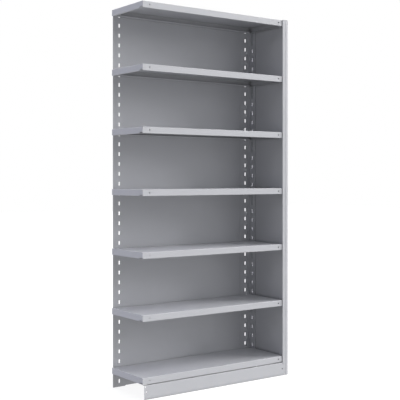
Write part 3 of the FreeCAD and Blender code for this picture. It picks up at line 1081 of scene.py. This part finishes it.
@dataclass
class StripScrews:
    """Screws from the rear through the right strip into the rear flange."""

    shank: Shank = Shank(radius=2.0 * MM, taper=0.7 * MM, taper_length=0.8 * MM)
    head: Hexagon = Hexagon(flats=7.0 * MM, height=2.4 * MM, face=0.44, dish=0.25,
                            dish_depth=0.3 * MM)
    collar_rim: float = 0.35 * MM
    collar_height: float = 0.6 * MM
    collar_neck: float = 0.52            # radius at the hexagon, as a share of the flats
    seed: int = 5

    def build(self, copies: RepeatedPartTree, finish: Material) -> None:
        """Builds the screws, each with a thin collar under its hexagon.

        Args:
            copies: the tree that repeats a screw.
            finish: the plating.
        """
        low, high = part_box("strip_screws")
        length = high.y - low.y
        under = length - self.head.height
        flats, collar, neck = self.head.flats, self.head.corner(), under + self.collar_height
        rings = self.shank.rings(under)
        rings += [ring(collar, under), ring(collar, under + self.collar_rim),
                  ring(self.collar_neck * flats, neck)]
        rings += self.head.head(neck, length)
        piece = copies.repeat("strip_screws_row", lofted("strip_screw", rings), Grid(
            start=Vector(((low.x + high.x) / 2, low.y, low.z + flats / 2)),
            row_step=UP * (high.z - low.z - flats), rows=2,
            most_turn=FLAT_TURN, seed=self.seed), finish)
        settle(piece, "strip_screws")


@dataclass
class ShelfClips:
    """Two-hook clips in the front and rear web slots, seven in each column."""

    gauge: float = 1.5 * MM
    bend: float = 2.5 * MM
    ledge: float = 14.0 * MM
    edge_radius: float = 0.25 * MM
    tongue_height: float = 8.7 * MM
    tongue_side_gap: float = 0.3 * MM
    hook_drop: float = 8.0 * MM
    hook_lead: tuple[float, float] = (0.5 * MM, 1.2 * MM)  # slope at its tip, across and up
    front_slot_width: float = 7.2 * MM
    rear_slot_width: float = 5.4 * MM
    slot_pitch: float = 50.0 * MM
    shelf_pitch: float = 300.0 * MM
    count: int = 7

    def build(self, copies: RepeatedPartTree, finish: Material) -> None:
        """Builds both columns of clips.

        Args:
            copies: the tree that repeats a clip.
            finish: the plating.
        """
        columns = {"front_shelf_clips": self.front_slot_width,
                   "rear_shelf_clips": self.rear_slot_width}
        for node, slot_width in columns.items():
            low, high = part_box(node)
            seat = high.z - low.z - self.shelf_pitch * (self.count - 1)
            clip = self.clip_mesh(high.x - low.x, high.y - low.y, seat, slot_width)
            piece = copies.repeat(node + "_column", clip, Grid(
                start=low, row_step=UP * self.shelf_pitch, rows=self.count), finish)
            round_off(piece, "tumbled_edge", self.edge_radius)
            settle(piece, node)

    def clip_mesh(self, width: float, depth: float, seat: float, slot_width: float) -> Mesh:
        """Makes one clip, measured from the low corner of its box.

        Args:
            width: from the ledge's free edge to the back of the hooks.
            depth: width of the pressed blank along the shelf end.
            seat: height of the ledge's top.
            slot_width: width of the slots that the tongues pass.

        Returns:
            Ledge and plate as one bent strip, and a tongue with a hook for each slot.
        """
        shape = bmesh.new()
        shape.from_mesh(extruded("clip_strip", self.strip_outline(seat), Vector((0, depth, 0))))
        tongue_depth = slot_width / 2 - 2 * self.tongue_side_gap
        tongue_y = depth / 2 - slot_width / 2 + self.tongue_side_gap
        upper = seat - self.gauge - self.tongue_height
        for floor in (upper - self.slot_pitch, upper):
            shape.from_mesh(self.tongue_mesh(width, tongue_y, tongue_depth, floor))
        mesh = bpy.data.meshes.new("shelf_clip")
        shape.to_mesh(mesh)
        shape.free()
        return mesh

    def strip_outline(self, seat: float) -> list[Vector]:
        """Outline of the bent strip of ledge and plate.

        Args:
            seat: height of the ledge's top.

        Returns:
            The points in order.
        """
        face, inside = self.ledge, self.ledge - self.gauge
        corner = Vector((face - self.bend, 0, seat - self.bend))
        small = self.bend - self.gauge
        across = Vector((1, 0, 0))
        outline = [Vector((0, 0, seat)), Vector((corner.x, 0, seat))]
        outline += arc(corner, UP * self.bend, across * self.bend, BEND_STEPS)
        outline += [Vector((face, 0, 0)), Vector((inside, 0, 0)), Vector((inside, 0, corner.z))]
        outline += arc(corner, across * small, UP * small, BEND_STEPS)
        return outline + [Vector((0, 0, seat - self.gauge))]

    def tongue_mesh(self, back: float, start: float, depth: float, floor: float) -> Mesh:
        """Makes a tongue that passes the web and hooks down behind it.

        Args:
            back: far side of the hook.
            start: near side of the tongue along the shelf end.
            depth: its width.
            floor: height of its underside.

        Returns:
            The tongue as a closed solid.
        """
        face, top = self.ledge, floor + self.tongue_height
        foot, grip = floor - self.hook_drop, back - self.gauge
        inward, upward = self.hook_lead
        corners = [(face, top), (back, top), (back, foot + upward), (back - inward, foot),
                   (grip, foot), (grip, floor), (face, floor)]
        outline = [Vector((x, start, z)) for x, z in corners]
        return extruded("clip_tongue", outline, Vector((0, depth, 0)))


# ---- studio

@dataclass(frozen=True)
class SoftLight:
    """One wide, soft light, far away. Its angles are in degrees."""

    name: str
    around: float
    above: float
    strength: float
    colour: tuple[float, float, float] = (1.0, 1.0, 1.0)
    spread: float = 40.0
    distance: float = 6.0

    def add(self) -> None:
        """Adds the light, aimed at the object from its side of the room."""
        data = bpy.data.lights.new(self.name, "SUN")
        data.energy = self.strength
        data.angle = math.radians(self.spread)
        data.color = self.colour
        lamp = bpy.data.objects.new(self.name, data)
        around, above = math.radians(self.around), math.radians(self.above)
        place = Vector((math.sin(around) * math.cos(above), -math.cos(around) * math.cos(above),
                        math.sin(above)))
        lamp.location = place * self.distance
        lamp.rotation_euler = place.to_track_quat("Z", "Y").to_euler()
        bpy.context.scene.collection.objects.link(lamp)


@dataclass
class Studio:
    """Paper floor, soft lights, white room and the camera."""

    lens: float = 76.93                  # millimetres, as the sensor
    sensor: float = 36.0
    yaw: float = 35.93                   # degrees, as the pitch
    pitch: float = -0.15
    from_shelf_corner: tuple[float, float] = (-2.1647, -3.4531)
    camera_height: float = 1.0608
    frame_px: float = 400.0
    principal_px: tuple[float, float] = (200.03, 179.64)
    floor_size: float = 40.0
    room: tuple[float, float, float] = (0.14, 0.15, 0.16)
    lights: tuple[SoftLight, ...] = (
        SoftLight("right_light", 70, 25, 4.4, (1.0, 0.99, 0.985)),
        SoftLight("high_front_light", 0, 50, 0.40),
        SoftLight("front_light", 15, 25, 0.52),
        SoftLight("left_fill", -80, 25, 0.44, (1.0, 0.99, 0.98)),
        SoftLight("left_rear_rim", -112, 20, 0.32, (0.20, 0.25, 1.0)),
        SoftLight("rear_fill", 180, 30, 1.2),
    )

    def build(self) -> None:
        """Builds the room and the camera."""
        self.camera()
        self.world()
        self.floor()
        for light in self.lights:
            light.add()
        bpy.context.scene.view_settings.view_transform = "Standard"
        log.info("studio with %d soft lights", len(self.lights))

    def camera(self) -> None:
        """Places the camera, measured from the low corner of the lowest loose shelf."""
        corner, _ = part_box("shelf_1")
        data = bpy.data.cameras.new("camera")
        data.lens = self.lens
        data.sensor_width = self.sensor
        data.shift_x = (self.frame_px / 2 - self.principal_px[0]) / self.frame_px
        data.shift_y = (self.principal_px[1] - self.frame_px / 2) / self.frame_px
        camera = bpy.data.objects.new("camera", data)
        offset_x, offset_y = self.from_shelf_corner
        camera.location = (corner.x + offset_x, corner.y + offset_y, self.camera_height)
        # without a turn a camera looks straight down: 90 degrees bring it level
        camera.rotation_euler = (math.radians(90 + self.pitch), 0, math.radians(-self.yaw))
        bpy.context.scene.collection.objects.link(camera)
        bpy.context.scene.camera = camera

    def world(self) -> None:
        """Even soft light for the object, pure white for the eye."""
        world = bpy.data.worlds.new("studio_room")
        bpy.context.scene.world = world
        world.use_nodes = True
        tree = world.node_tree
        tree.nodes.clear()
        colour = add_node(tree, "ShaderNodeMix", {
            "Factor": seen_directly(tree), "A": (*self.room, 1.0), "B": WHITE}, data_type="RGBA")
        back = add_node(tree, "ShaderNodeBackground", {"Color": colour.outputs["Result"], "Strength": 1.0})
        add_node(tree, "ShaderNodeOutputWorld", {"Surface": back.outputs[0]})

    def floor(self) -> None:
        """Lays the paper."""
        half = self.floor_size / 2
        mesh = bpy.data.meshes.new("floor")
        corners = [(-half, -half, 0), (half, -half, 0), (half, half, 0), (-half, half, 0)]
        mesh.from_pydata(corners, [], [(0, 1, 2, 3)])
        floor = new_piece("floor", mesh, StudioPaper().material())


def main() -> None:
    """Builds every piece in order."""
    coat = PowderCoat().material()
    zinc = ZincPlate().material()
    sheets = SlottedSheetTree()
    copies = RepeatedPartTree()
    Studio().build()
    Upright().build(sheets, coat)
    RearClosure().build(sheets, copies, coat)
    Trays().build()
    ShelfClips().build(copies, zinc)
    TieSet().build(copies, zinc)
    StripScrews().build(copies, zinc)


if __name__ == "__main__":
    main()
